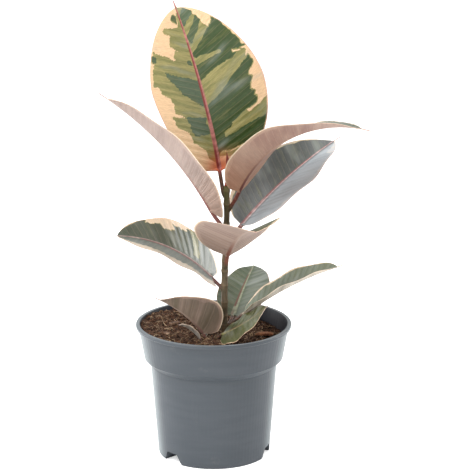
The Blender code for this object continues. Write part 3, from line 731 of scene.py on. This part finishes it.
def scatter(rng, count, clear=0.0):
    """Random places on the soil, inside the pot's wall."""
    places = []
    while len(places) < count:
        x, y = rng.uniform(-0.056, 0.056, 2)
        limit = outer_radius(soil_height(x, y)) - POT_WALL - 0.0012 - clear
        if math.hypot(x, y) < limit:
            places.append((x, y))
    return places


def rotation(rng):
    """A random turn."""
    turn = rng.uniform(0.0, 2.0 * math.pi)
    tip = rng.uniform(-1.0, 1.0)
    lean = rng.uniform(-1.0, 1.0)
    cz, sz = math.cos(turn), math.sin(turn)
    cx, sx = math.cos(tip), math.sin(tip)
    cy, sy = math.cos(lean), math.sin(lean)
    about_z = np.array(((cz, -sz, 0.0), (sz, cz, 0.0), (0.0, 0.0, 1.0)))
    about_x = np.array(((1.0, 0.0, 0.0), (0.0, cx, -sx), (0.0, sx, cx)))
    about_y = np.array(((cy, 0.0, sy), (0.0, 1.0, 0.0), (-sy, 0.0, cy)))
    return about_z @ about_x @ about_y


def pebble_shape():
    """A ball of 26 points, as (points, faces)."""
    rows, sides = 4, 8
    points = [(0.0, 0.0, -1.0)]
    for row in range(1, rows):
        polar = math.pi * row / rows - 0.5 * math.pi
        level = math.cos(polar)
        for angle in ring_angles(sides):
            points.append((level * math.cos(angle), level * math.sin(angle), math.sin(polar)))
    points.append((0.0, 0.0, 1.0))
    last = len(points) - 1
    faces = []
    for side in range(sides):
        after = (side + 1) % sides
        faces.append((0, 1 + after, 1 + side))
        for row in range(rows - 2):
            low, high = 1 + row * sides, 1 + (row + 1) * sides
            faces.append((low + side, low + after, high + after, high + side))
        faces.append((last - sides + side, last - sides + after, last))
    return np.array(points), faces


def make_crumbs():
    """Crumbs of compost lying on the soil."""
    rng = np.random.default_rng(11)
    shape, shape_faces = pebble_shape()
    points, faces, tints = [], [], []
    for x, y in scatter(rng, 2300):
        size = 0.0003 + 0.0011 * rng.random() ** 2.2
        scale = size * np.array((1.0, rng.uniform(0.55, 0.95), rng.uniform(0.45, 0.8)))
        rough = 1.0 + rng.uniform(-0.28, 0.28, (len(shape), 1))
        body = (shape * rough * scale) @ rotation(rng).T
        start = sum(len(part) for part in points)
        points.append(body + (x, y, soil_surface(x, y) + 0.25 * size))
        faces.extend(tuple(start + index for index in face) for face in shape_faces)
        tints.extend([rng.random() ** 1.6] * len(shape))
    material = soil_material("soil_crumb", (0.035, 0.017, 0.010), (0.135, 0.066, 0.036), 500.0)
    crumbs = mesh_object("soil_crumbs", np.concatenate(points), faces, [material])
    add_attribute(crumbs, "tint", "FLOAT", tints)
    place(crumbs, "soil")


def make_fibres():
    """Coir fibres and fine roots: bent threads lying on the soil."""
    rng = np.random.default_rng(23)
    steps, sides = 7, 4
    points, faces, tints = [], [], []
    for x, y in scatter(rng, 620, clear=0.001):
        length = rng.uniform(0.002, 0.010)
        thickness = rng.uniform(0.00008, 0.00024)
        heading = rng.uniform(0.0, 2.0 * math.pi)
        bend = rng.uniform(-2.2, 2.2)
        lift = rng.uniform(0.0002, 0.0016)
        tint = rng.random() ** 1.3
        start = len(points)
        for step in range(steps):
            share = step / (steps - 1)
            angle = heading + bend * (share - 0.5)
            limit = outer_radius(SOIL_LEVEL) - POT_WALL - 0.0008
            if math.hypot(x, y) > limit:
                scale = limit / math.hypot(x, y)
                x, y = x * scale, y * scale
            z = soil_surface(x, y) + thickness + lift * math.sin(math.pi * share) * rng.uniform(0.7, 1.0)
            for around in ring_angles(sides):
                sideways = thickness * math.cos(around)
                points.append((x - sideways * math.sin(angle), y + sideways * math.cos(angle),
                               z + thickness * math.sin(around)))
                tints.append(tint)
            x += length / steps * math.cos(angle)
            y += length / steps * math.sin(angle)
        faces.extend(tuple(start + index for index in face) for face in ring_faces(steps, sides))
    fibres = mesh_object("soil_fibres", points, faces, [fibre_material()])
    add_attribute(fibres, "tint", "FLOAT", tints)
    place(fibres, "soil")


def flake(rng, x, y, length, width, thickness, heading, lift=0.0, tilt=0.0):
    """A flake of bark: a worn slab with an uneven outline and a rough face. Returns (points, faces)."""
    sides, rings = 14, 4
    outline = [1.0 + rng.uniform(-0.22, 0.22) for _ in range(sides)]
    turn = math.radians(heading)
    floor = soil_surface(x, y) + lift
    points = []
    levels = ((0.0, 0.80), (0.25, 1.0), (0.75, 0.96), (1.0, 0.72))
    for level, shrink in levels:
        for angle, bulge in zip(ring_angles(sides), outline):
            along, across = math.cos(angle), math.sin(angle)
            reach = bulge * shrink
            u = 0.5 * length * reach * math.copysign(abs(along) ** 0.7, along)
            v = 0.5 * width * reach * math.copysign(abs(across) ** 0.7, across)
            px = x + u * math.cos(turn) - v * math.sin(turn)
            py = y + u * math.sin(turn) + v * math.cos(turn)
            rough = 0.12 * thickness * rng.uniform(-1.0, 1.0)
            points.append((px, py, floor + level * thickness + rough + tilt * u))
    return points, ring_faces(rings, sides)


def make_flakes():
    """The six larger flakes stand for the CAD part's bark chips, and small ones lie between them."""
    rng = np.random.default_rng(5)
    chips = (
        (0.0390, 0.0050, 0.0145, 0.0068, 0.0022, -28, 0.12),
        (-0.0300, 0.0120, 0.0090, 0.0050, 0.0016, 35, 0.0),
        (-0.0140, 0.0300, 0.0100, 0.0045, 0.0016, 10, 0.05),
        (0.0260, 0.0340, 0.0080, 0.0050, 0.0015, 70, 0.0),
        (0.0190, -0.0330, 0.0085, 0.0040, 0.0015, 20, 0.0),
        (-0.0360, -0.0140, 0.0075, 0.0045, 0.0014, -50, 0.05),
    )
    bright = bark_material("bark_bright", (0.16, 0.055, 0.022), (0.36, 0.15, 0.065))
    dull = bark_material("bark_dull", (0.05, 0.026, 0.014), (0.15, 0.08, 0.045))
    for number, (x, y, length, width, thickness, heading, tilt) in enumerate(chips, start=1):
        points, faces = flake(rng, x, y, length, width, thickness, heading, 0.0002, tilt)
        chip = mesh_object(f"bark_flake_{number}", points, faces, [bright if number in (1, 4) else dull])
        chip.data.set_sharp_from_angle(angle=math.radians(50.0))
        place(chip, "bark", f"bark_chip_{number}")
    points, faces = [], []
    for x, y in scatter(rng, 110, clear=0.003):
        length = rng.uniform(0.0015, 0.0042)
        part, part_faces = flake(rng, x, y, length, length * rng.uniform(0.3, 0.6), length * 0.22,
                                 rng.uniform(0.0, 180.0), -0.0001, rng.uniform(-0.4, 0.4))
        faces.extend(tuple(len(points) + index for index in face) for face in part_faces)
        points.extend(part)
    small = mesh_object("bark_fragments", points, faces, [dull])
    small.data.set_sharp_from_angle(angle=math.radians(50.0))
    place(small, "bark")


def dress_pot():
    """The CAD part's pot keeps its shape, and gets a moulded plastic finish."""
    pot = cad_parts["pot"]
    pot.data.materials.clear()
    pot.data.materials.append(pot_material())


# ---------------------------------------------------------------- stem and bud


def stem_point(share):
    shares, xs, ys = zip(*STEM_LINE)
    z = SOIL_LEVEL + share * STEM_HEIGHT
    return np.array((np.interp(share, shares, xs), np.interp(share, shares, ys), z))


def node_rings():
    """Shares of the stem's height that carry a ring: the leaves' nodes, and scars of fallen leaves."""
    scars = (0.13, 0.22, 0.43, 0.575)
    return [leaf.node for leaf in LEAVES if leaf.node] + list(scars)


def stem_taper(share):
    """Radius of the stem between its nodes."""
    return STEM_FOOT_RADIUS + (STEM_TOP_RADIUS - STEM_FOOT_RADIUS) * max(share, 0.0)


def cad_stem_radius(share):
    """Radius of the CAD part's stem, which says where the petioles begin."""
    swelling = 0.0
    for leaf in LEAVES:
        if leaf.node:
            away = (share - leaf.node) * STEM_HEIGHT / CAD_NODE_LENGTH
            swelling = max(swelling, CAD_NODE_SWELLING * math.exp(-(away**2)))
    return stem_taper(share) + swelling


def make_stem():
    """The stem, with a raised ring at each node and scar, and an uneven skin."""
    rings = node_rings()
    points, ring_marks = [], []
    shares = np.linspace(-STEM_DEPTH / STEM_HEIGHT, 1.0, STEM_RINGS)
    for share in shares:
        centre = stem_point(share)
        radius = stem_taper(share)
        mark = 0.0
        for node in rings:
            away = (share - node) * STEM_HEIGHT
            radius += 0.6 * NODE_SWELLING * math.exp(-((away / NODE_LENGTH) ** 2))
            mark = max(mark, math.exp(-((away / RING_LENGTH) ** 2)))
        radius += 0.00010 * mark
        for angle in ring_angles(STEM_SIDES):
            place_in = Vector((2.0 * math.cos(angle), 2.0 * math.sin(angle), share * 14.0))
            uneven = 1.0 + 0.06 * noise.noise(place_in)
            points.append((centre[0] + radius * uneven * math.cos(angle),
                           centre[1] + radius * uneven * math.sin(angle), centre[2]))
            ring_marks.append(mark)
    stem = mesh_object("stem_body", points, ring_faces(STEM_RINGS, STEM_SIDES), [stem_material()])
    stem.data.set_sharp_from_angle(angle=math.radians(60.0))
    add_attribute(stem, "ring", "FLOAT", ring_marks)
    place(stem, "stem_bark", "stem")


def make_bud():
    """The terminal bud: a rolled sheath with a seam that winds round it."""
    low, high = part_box("terminal_bud")
    shares = (0.0, 0.08, 0.2, 0.32, 0.46, 0.58, 0.72, 0.88, 0.96, 1.0)
    radii = (0.0018, 0.0016, 0.0010, 0.0009, 0.0013, 0.0016, 0.0014, 0.0007, 0.0003, 0.00012)
    rows, sides = 60, 28
    foot = stem_point(1.0)
    points = []
    for row in range(rows):
        share = row / (rows - 1)
        lean = 0.0010 * math.sin(math.pi * share)
        z = low.z + share * (high.z - low.z)
        for angle in ring_angles(sides):
            seam = math.exp(-(((math.degrees(angle) - 140.0 - 200.0 * share) % 360.0 - 180.0) / 14.0) ** 2)
            radius = np.interp(share, shares, radii) * (1.0 - 0.16 * seam)
            points.append((foot[0] + lean + radius * math.cos(angle), foot[1] + radius * math.sin(angle), z))
    bud = mesh_object("bud_sheath", points, ring_faces(rows, sides), [bud_material()])
    place(bud, "bud_sheath", "terminal_bud")


# ---------------------------------------------------------------- leaves


def direction(heading, rise):
    heading, rise = np.radians(heading), np.radians(rise)
    level = np.cos(rise)
    return np.stack((level * np.cos(heading), level * np.sin(heading), np.sin(rise)), -1)


def blade_frame(leaf, share):
    """(along, right, up) of the blade at shares of its length, one row for each share."""
    share = np.asarray(share, float)
    heading = leaf.heading + leaf.turn * share
    along = direction(heading, leaf.rise[0] + (leaf.rise[1] - leaf.rise[0]) * share)
    heading = np.radians(heading)
    right = np.stack((np.sin(heading), -np.cos(heading), np.zeros_like(heading)), -1)
    up = np.cross(right, along)
    roll = np.radians(leaf.roll[0] + (leaf.roll[1] - leaf.roll[0]) * share)[..., None]
    return along, right * np.cos(roll) + up * np.sin(roll), up * np.cos(roll) - right * np.sin(roll)


def petiole_foot(leaf):
    """Where the petiole begins, as in the CAD part."""
    if leaf.foot:
        x, y = leaf.foot
        drop = leaf.petiole_radius * math.cos(math.radians(leaf.petiole_rise))
        slope = 1.5 * leaf.petiole_radius * math.hypot(SOIL_TILT_X, SOIL_TILT_Y)
        return np.array((x, y, soil_height(x, y) + GAP + drop + slope))
    away = cad_stem_radius(leaf.node) + GAP
    away += leaf.petiole_radius * math.sin(math.radians(leaf.petiole_rise))
    return stem_point(leaf.node) + away * direction(leaf.out, 0.0)


def half_width(leaf, share, widest):
    """Outline of the blade: an egg shape that ends in a narrow drip tip."""
    body_end = 1.0 - DRIP_TIP
    before = np.clip((widest - share) / widest, 0.0, 1.0)
    beyond = np.clip((share - widest) / (body_end - widest), 0.0, 1.0)
    base_half = np.sqrt(1.0 - before**BASE_ROUNDNESS)
    tip_half = (1.0 - beyond**leaf.point) ** (1.0 / leaf.point)
    outline = np.where(share < widest, base_half, tip_half)
    tip = DRIP_TIP_WIDTH * np.minimum(1.0, (1.0 - share) / DRIP_TIP_TAPER)
    return np.maximum(0.5 * leaf.width * np.maximum(outline, tip), TIP_HALF_WIDTH)


def midrib_points(leaf):
    """The petiole's points and directions, then the blade's midrib as (shares, points)."""
    leaving = direction(leaf.out, leaf.petiole_rise)
    arriving = blade_frame(leaf, 0.0)[0]
    point = petiole_foot(leaf)
    petiole = []
    for row in range(PETIOLE_ROWS):
        along = leaving + (arriving - leaving) * row / PETIOLE_ROWS
        along /= np.linalg.norm(along)
        petiole.append((point, along))
        point = point + along * leaf.petiole / PETIOLE_ROWS
    steps = 4 * BLADE_ROWS
    shares = np.linspace(0.0, 1.0, steps + 1)
    strides = blade_frame(leaf, 0.5 * (shares[1:] + shares[:-1]))[0] * leaf.length / steps
    return petiole, shares, np.concatenate(([point], point + np.cumsum(strides, axis=0)))


def ring_columns():
    """(column, side) round a leaf: the upper side from left to right, then the underside back."""
    spread = np.linspace(-1.0, 1.0, COLUMNS)
    columns = np.sign(spread) * (0.35 * np.abs(spread) + 0.65 * np.sin(0.5 * math.pi * np.abs(spread)))
    around = np.concatenate((columns, columns[-2:0:-1]))
    sides = np.concatenate((np.ones(COLUMNS), -np.ones(COLUMNS - 2)))
    return around, sides


def petiole_ring(point, along, right, count, radius):
    right = right - along * np.dot(right, along)
    right /= np.linalg.norm(right)
    up = np.cross(right, along)
    angle = math.pi - 2.0 * math.pi * np.arange(count) / count
    offset = np.cos(angle)[:, None] * right + np.sin(angle)[:, None] * up
    return point + radius * offset


def vein_place(leaf, share, reach):
    """Distance along the midrib to where the vein through a point leaves it."""
    return share * leaf.length - VEIN_LEAN * reach


def blade_ring(leaf, share, columns, sides, shares, midrib, seed):
    """Points round the blade at a share of its length, and the reach of each from the midrib."""
    right_width = leaf.right * half_width(leaf, share, leaf.widest)
    left_width = leaf.left * half_width(leaf, share, leaf.widest + leaf.skew)
    reach = np.abs(columns) * np.where(columns > 0.0, right_width, left_width)
    swept = share - leaf.lobe * columns**2 * max(0.0, 1.0 - share / 0.35) ** 2
    on_rib = np.clip(swept, 0.0, 1.0)
    along, right, up = blade_frame(leaf, on_rib)
    point = np.stack([np.interp(on_rib, shares, midrib[:, axis]) for axis in range(3)], -1)
    point = point + along * (np.minimum(swept, 0.0) * leaf.length)[:, None]
    outward = np.where(columns[:, None] > 0.0, right, -right)
    bend = math.radians(leaf.cup) * reach / leaf.width
    angle = math.radians(leaf.fold) + bend
    crease = 1.0 - np.exp(-reach / CREASE)
    rise = np.sin(angle) * (reach - CREASE * crease)
    point = point + outward * (reach * np.cos(angle))[:, None] + up * rise[:, None]
    normal = up * np.cos(angle)[:, None] - outward * np.sin(angle * crease)[:, None]
    normal /= np.linalg.norm(normal, axis=1)[:, None]
    vein = vein_place(leaf, share, reach) / VEIN_SPACING
    taper = smoothstep(reach / 0.004) * smoothstep((1.0 - np.abs(columns)) / 0.12)
    quilting = QUILTING * taper * np.cos(2.0 * math.pi * vein) * smoothstep(share / 0.1)
    swell = np.abs(columns) ** 2.5 * smoothstep(share / 0.2) * smoothstep((1.0 - share) / 0.15)
    phase = 2.0 * math.pi * (leaf.waves * share + 0.23 * seed) + np.where(columns > 0.0, 1.9, 0.0)
    wave = leaf.wave * swell * np.sin(phase)
    thickness = 0.5 * LEAF_THICKNESS * np.sqrt(np.maximum(1.0 - columns**6, 0.0))
    rib_width = RIB_WIDTH * (1.0 - 0.75 * share)
    rib = np.exp(-((reach / rib_width) ** 2))
    below = sides < 0.0
    fade = 1.0 - share
    rib_below = 0.85 * leaf.petiole_radius * fade * rib
    thickness = thickness + np.where(below, rib_below, RIB_HEIGHT * rib * fade**0.5)
    shift = sides * thickness + quilting + wave
    return point + normal * shift[:, None], reach


def wander(values, frequency, lane):
    """Smooth noise along a line of values; each lane has its own."""
    return np.array([noise.noise(Vector((value * frequency, number, 0.5)))
                     for value, number in zip(values, lane)])


def leaf_tone(leaf, share, column, reach, side_sign, seed):
    """(tone, depth) of each point: the body's, a cream margin, and the leaf's own patches."""
    look = leaf.look
    at = vein_place(leaf, share, reach) / leaf.length
    lane = side_sign * 3.0 + seed * 5.0
    spread = np.abs(column)
    tone = look.body + 0.5 * look.spread * wander(at, 9.0, lane)
    depth = look.depth + 0.6 * wander(at, 5.0, lane + 1.0)
    margin = look.margin + 0.09 * wander(at, 14.0, lane + 2.0) * min(1.0, (1.0 - look.margin) / 0.1)
    tone = tone + (CREAM - tone) * smoothstep((spread - margin) / 0.05 + 0.5)
    teeth = 0.05 * wander(at, 46.0, lane + 3.0) + 0.05 * wander(at, 17.0, lane + 4.0)
    bend = 0.010 * wander(spread, 6.0, lane + at * 9.0) + 0.005 * wander(spread, 19.0, lane + at * 14.0)
    moved, reached = at + bend, spread + teeth
    for patch in look.patches:
        part = np.clip((reached - patch.inner) / (patch.outer - patch.inner), 0.0, 1.0)
        low = patch.low[0] + (patch.low[1] - patch.low[0]) * part
        high = patch.high[0] + (patch.high[1] - patch.high[0]) * part
        inside = smoothstep((moved - low) / 0.010 + 0.5) * smoothstep((high - moved) / 0.010 + 0.5)
        if patch.inner > 0.0:
            inside = inside * smoothstep((reached - patch.inner) / 0.04 + 0.5)
        inside = inside * smoothstep((patch.outer - reached) / 0.04 + 0.5) * (side_sign == patch.side)
        tone = tone + (patch.tone - tone) * inside
        if patch.tone == GREEN:
            depth = depth + (patch.depth - depth) * inside
    return tone, depth


def petiole_joint(leaf, point, leaving):
    """Points and directions of the petiole's root: it curves up out of the stem, or out of the soil."""
    if leaf.foot:
        start = point - leaving * 0.003
        return [(start + (point - start) * row / JOINT_ROWS, leaving) for row in range(JOINT_ROWS)]
    out = direction(leaf.out, 0.0)
    start = stem_point(leaf.node) - (0.0, 0.0, JOINT_DROP) + out * 0.35 * cad_stem_radius(leaf.node)
    middle = point - leaving * 0.55 * np.linalg.norm(point - start)
    rows = []
    for row in range(JOINT_ROWS):
        share = row / JOINT_ROWS
        place_at = start * (1.0 - share) ** 2 + middle * 2.0 * share * (1.0 - share) + point * share**2
        along = (middle - start) * (1.0 - share) + (point - middle) * share
        rows.append((place_at, along / np.linalg.norm(along)))
    return rows


def make_leaf(leaf, seed):
    """One leaf as a closed mesh: a round petiole that opens into the blade."""
    columns, sides = ring_columns()
    count = len(columns)
    petiole, shares, midrib = midrib_points(leaf)
    right = blade_frame(leaf, 0.0)[1]
    joint = petiole_joint(leaf, *petiole[0])
    rings, maps, tones, depths, edges, joints = [], [], [], [], [], []
    rows = len(joint) + len(petiole)
    for row, (point, along) in enumerate(joint + petiole):
        root = 1.0 - row / len(joint)
        radius = leaf.petiole_radius * (1.0 + 0.18 * max(root, 0.0))
        rings.append(petiole_ring(point, along, right, count, radius))
        behind = -leaf.petiole * (rows - row) / rows
        maps.append(np.tile((behind, 0.0, behind / leaf.length), (count, 1)))
        tones.append(np.zeros(count))
        depths.append(np.zeros(count))
        edges.append(np.zeros(count))
        joints.append(np.full(count, smoothstep(0.35 + root)))
    side_sign = np.where(columns < 0.0, -1.0, 1.0)
    for row in range(BLADE_ROWS + 1):
        share = 0.5 * (1.0 - math.cos(math.pi * row / BLADE_ROWS))
        ring, reach = blade_ring(leaf, share, columns, sides, shares, midrib, seed)
        blend = smoothstep((share + 0.004) / 0.03)
        if blend < 1.0:
            centre = np.array([np.interp(share, shares, midrib[:, axis]) for axis in range(3)])
            along = blade_frame(leaf, share)[0]
            round_ring = petiole_ring(centre, along, right, count, leaf.petiole_radius)
            ring = round_ring + (ring - round_ring) * blend
        rings.append(ring)
        along_rib = np.full(count, share)
        maps.append(np.stack((vein_place(leaf, along_rib, reach), reach * side_sign, along_rib), -1))
        tone, depth = leaf_tone(leaf, along_rib, columns, reach, side_sign, seed)
        tones.append(tone)
        depths.append(depth)
        edges.append(np.maximum(np.abs(columns), smoothstep((share - 0.93) / 0.05)))
        joints.append(np.zeros(count))
    faces = ring_faces(len(rings), count)
    row_slots = [0 if side < COLUMNS - 1 else 1 for side in range(count)]
    slots = row_slots * (len(rings) - 1) + [1, 1]
    materials = [upper_material(leaf, seed), under_material(leaf, seed)]
    piece = mesh_object(leaf.name + "_blade", np.concatenate(rings), faces, materials, slots)
    add_attribute(piece, "leaf_map", "FLOAT_VECTOR", np.concatenate(maps))
    for name, values in (("tone", tones), ("depth", depths), ("edge", edges), ("joint", joints)):
        add_attribute(piece, name, "FLOAT", np.concatenate(values))
    place(piece, "leaf", leaf.name)


# ---------------------------------------------------------------- studio


AMBIENT = 0.80  # brightness of the white surroundings as a light
BACKDROP = 1.05  # and as the camera sees them
FLOOR_SIZE = 24.0
FLOOR_GLOW = 0.55  # keeps the floor white to the camera, and lights nothing


def make_floor():
    nodes = Nodes("studio_floor")
    mottle = nodes.noise(nodes.position(), 0.6, 2.0)
    colour = nodes.mix(nodes.remap(mottle, 0.3, 0.7), (0.90, 0.90, 0.90), (0.93, 0.93, 0.93))
    material = nodes.finish(colour, 0.9, Specular_IOR_Level=0.1, Emission_Color=(1.0, 1.0, 1.0, 1.0))
    ray = nodes.node("ShaderNodeLightPath")
    glow = nodes.remap(ray.outputs["Is Camera Ray"], 0.0, 1.0, 0.0, FLOOR_GLOW, smooth=False)
    nodes.put(nodes.shader.inputs["Emission Strength"], glow)
    half = 0.5 * FLOOR_SIZE
    corners = [(-half, -half, 0.0), (half, -half, 0.0), (half, half, 0.0), (-half, half, 0.0)]
    mesh_object("studio_floor", corners, [(0, 1, 2, 3)], [material])


def area_light(name, place_at, target, size, power):
    data = bpy.data.lights.new(name, "AREA")
    data.shape = "RECTANGLE"
    data.size, data.size_y = size
    data.energy = power
    light = bpy.data.objects.new(name, data)
    light.location = place_at
    light.rotation_euler = (Vector(target) - Vector(place_at)).to_track_quat("-Z", "Y").to_euler()
    bpy.context.scene.collection.objects.link(light)


def make_studio():
    scene = bpy.context.scene
    world = bpy.data.worlds.new("studio")
    world.use_nodes = True
    tree = world.node_tree
    background = tree.nodes["Background"]
    background.inputs["Color"].default_value = (1.0, 1.0, 1.0, 1.0)
    ray = tree.nodes.new("ShaderNodeLightPath")
    strength = tree.nodes.new("ShaderNodeMapRange")
    tree.links.new(ray.outputs["Is Camera Ray"], strength.inputs["Value"])
    strength.inputs["To Min"].default_value = AMBIENT
    strength.inputs["To Max"].default_value = BACKDROP
    tree.links.new(strength.outputs["Result"], background.inputs["Strength"])
    scene.world = world
    middle = (0.0, 0.0, 0.2)
    area_light("key", (-0.8, -0.8, 1.5), middle, (0.8, 0.8), 26.0)
    area_light("left_rim", (-1.2, 0.5, 0.45), middle, (0.6, 1.4), 15.0)
    area_light("right_rim", (1.2, 0.5, 0.45), middle, (0.6, 1.4), 15.0)
    scene.view_settings.view_transform = "Standard"
    scene.view_settings.look = "None"


def make_camera():
    """A long lens, level with the leaves' tips and looking a little down."""
    data = bpy.data.cameras.new("camera")
    data.sensor_width = 36.0
    data.lens = 153.3
    camera = bpy.data.objects.new("camera", data)
    camera.location = (0.0, -1.471, 0.570)
    camera.rotation_euler = (math.radians(74.92), 0.0, math.radians(-0.64))
    bpy.context.scene.collection.objects.link(camera)
    bpy.context.scene.camera = camera


def main():
    make_studio()
    make_camera()
    make_floor()
    dress_pot()
    make_soil()
    make_crumbs()
    make_fibres()
    make_flakes()
    make_stem()
    make_bud()
    for number, leaf in enumerate(LEAVES, start=1):
        make_leaf(leaf, float(number))


main()
